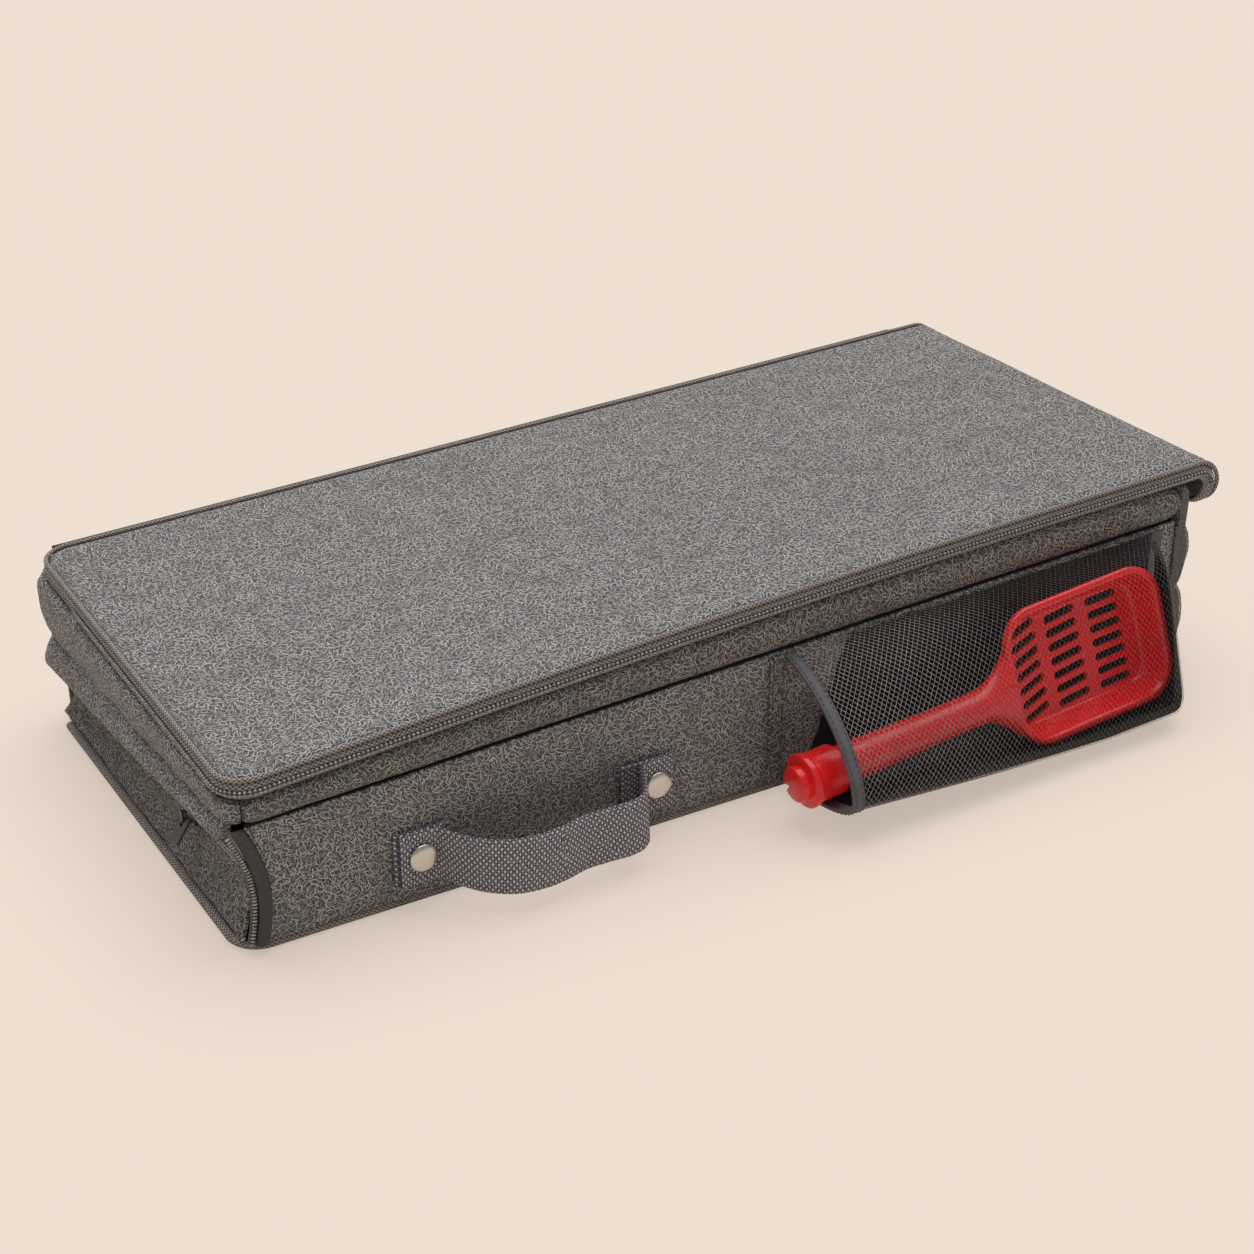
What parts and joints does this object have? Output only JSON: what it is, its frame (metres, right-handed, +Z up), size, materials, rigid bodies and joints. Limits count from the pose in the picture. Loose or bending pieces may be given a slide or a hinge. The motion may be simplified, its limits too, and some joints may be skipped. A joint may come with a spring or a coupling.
{
  "type": "foldable litter box",
  "caption": "Foldable fabric litter box for cats, folded into a wedge-shaped carrying pack, with a webbing handle and a mesh pocket that holds a slotted scoop.",
  "frame": {"origin": "middle of the folded pack's footprint, on the floor", "axes": "+X to the right along the long front, +Y to the back, +Z up"},
  "size_m": [0.484, 0.271, 0.1015],
  "materials": {
    "heather_fabric": "woven",
    "heather_fabric_dark": "woven",
    "zip_tape": "ribbed tape",
    "smooth_binding": "smooth",
    "nylon_coil": "satin",
    "stiff_board": "matte",
    "waterproof_liner": "coated",
    "webbing": "basket weave",
    "pocket_mesh": "open mesh",
    "slate_binding": "stitched tape",
    "brushed_nickel": "brushed",
    "gunmetal": "satin",
    "red_plastic": "gloss"
  },
  "bodies": {
    "base": {"base_cover": "heather_fabric", "base_board": "stiff_board", "base_liner": "waterproof_liner", "base_piping": "zip_tape", "front_wall_cover": "heather_fabric_dark", "front_wall_board": "stiff_board", "front_wall_liner": "waterproof_liner", "left_edge_binding": "smooth_binding", "corner_zip_coil": "nylon_coil", "left_end_panel": "heather_fabric", "end_zip_coil": "nylon_coil", "end_zip_tape": "zip_tape", "right_lower_fold": "heather_fabric", "right_upper_fold": "heather_fabric", "handle_patch_left": "webbing", "handle_patch_right": "webbing", "rivet_left": "brushed_nickel", "rivet_right": "brushed_nickel", "rivet_washer_left": "brushed_nickel", "rivet_washer_right": "brushed_nickel", "mesh_pocket": "pocket_mesh", "pocket_mouth_binding": "slate_binding", "pocket_seam_tape": "smooth_binding", "pocket_end_tape": "slate_binding"},
    "back_panel": {"back_panel_cover": "heather_fabric", "back_panel_board": "stiff_board", "back_panel_liner": "waterproof_liner"},
    "lid": {"lid_cover": "heather_fabric", "lid_board": "stiff_board", "lid_liner": "waterproof_liner", "lid_band": "zip_tape", "lid_piping": "zip_tape", "lid_zip_coil": "nylon_coil", "left_end_fold": "zip_tape"},
    "far_wall": {"far_wall_pad": "heather_fabric_dark", "far_wall_liner": "waterproof_liner", "far_wall_board": "stiff_board"},
    "zip_slider": {"zip_slider": "gunmetal"},
    "zip_pull": {"zip_pull": "gunmetal"},
    "handle_strap": {"handle_strap": "webbing"},
    "scoop": {"scoop": "red_plastic"},
    "scoop_cap": {"scoop_cap": "red_plastic"}
  },
  "joints": [
    {"name": "back_panel_fold", "type": "hinge", "parent": "base", "child": "back_panel", "pos_m": [-0.00849, 0.13545, 0], "axis": [-1, 0, 0], "range_deg": [0, 90]},
    {"name": "lid_fold", "type": "hinge", "parent": "back_panel", "child": "lid", "pos_m": [-0.00849, 0.13545, 0.0895], "axis": [-0.9995, 0, -0.0326], "range_deg": [0, 90]},
    {"name": "far_wall_swing", "type": "hinge", "parent": "lid", "child": "far_wall", "pos_m": [-0.00849, -0.08285, 0.0829], "axis": [-0.9985, 0, -0.0543], "range_deg": [0, 90]},
    {"name": "zip_slide", "type": "slide", "parent": "base", "child": "zip_slider", "axis": [0, 0.9953, -0.0971], "range_m": [0, 0.13]},
    {"name": "zip_pull_flip", "type": "hinge", "parent": "zip_slider", "child": "zip_pull", "pos_m": [-0.23504, -0.02455, 0.03254], "axis": [0, 0.9953, -0.0971], "range_deg": [0, 90]},
    {"name": "handle_swing", "type": "hinge", "parent": "base", "child": "handle_strap", "pos_m": [-0.11019, -0.08625, 0.0249], "axis": [-1, 0, 0], "range_deg": [0, 60], "deforming": ["handle_strap"]},
    {"name": "scoop_slide", "type": "slide", "parent": "base", "child": "scoop", "axis": [-0.9848, -0.1736, 0], "range_m": [0, 0.25], "deforming": ["mesh_pocket", "pocket_mouth_binding"]},
    {"name": "cap_turn", "type": "hinge", "parent": "scoop", "child": "scoop_cap", "pos_m": [-0.00089, -0.11171, 0.02313], "axis": [0.9967, 0.029, 0.076], "range_deg": [0, 90]}
  ],
  "couplings": [
    {"joint": "lid_fold", "follows": "back_panel_fold", "ratio": 1},
    {"joint": "far_wall_swing", "follows": "back_panel_fold", "ratio": 1}
  ]
}
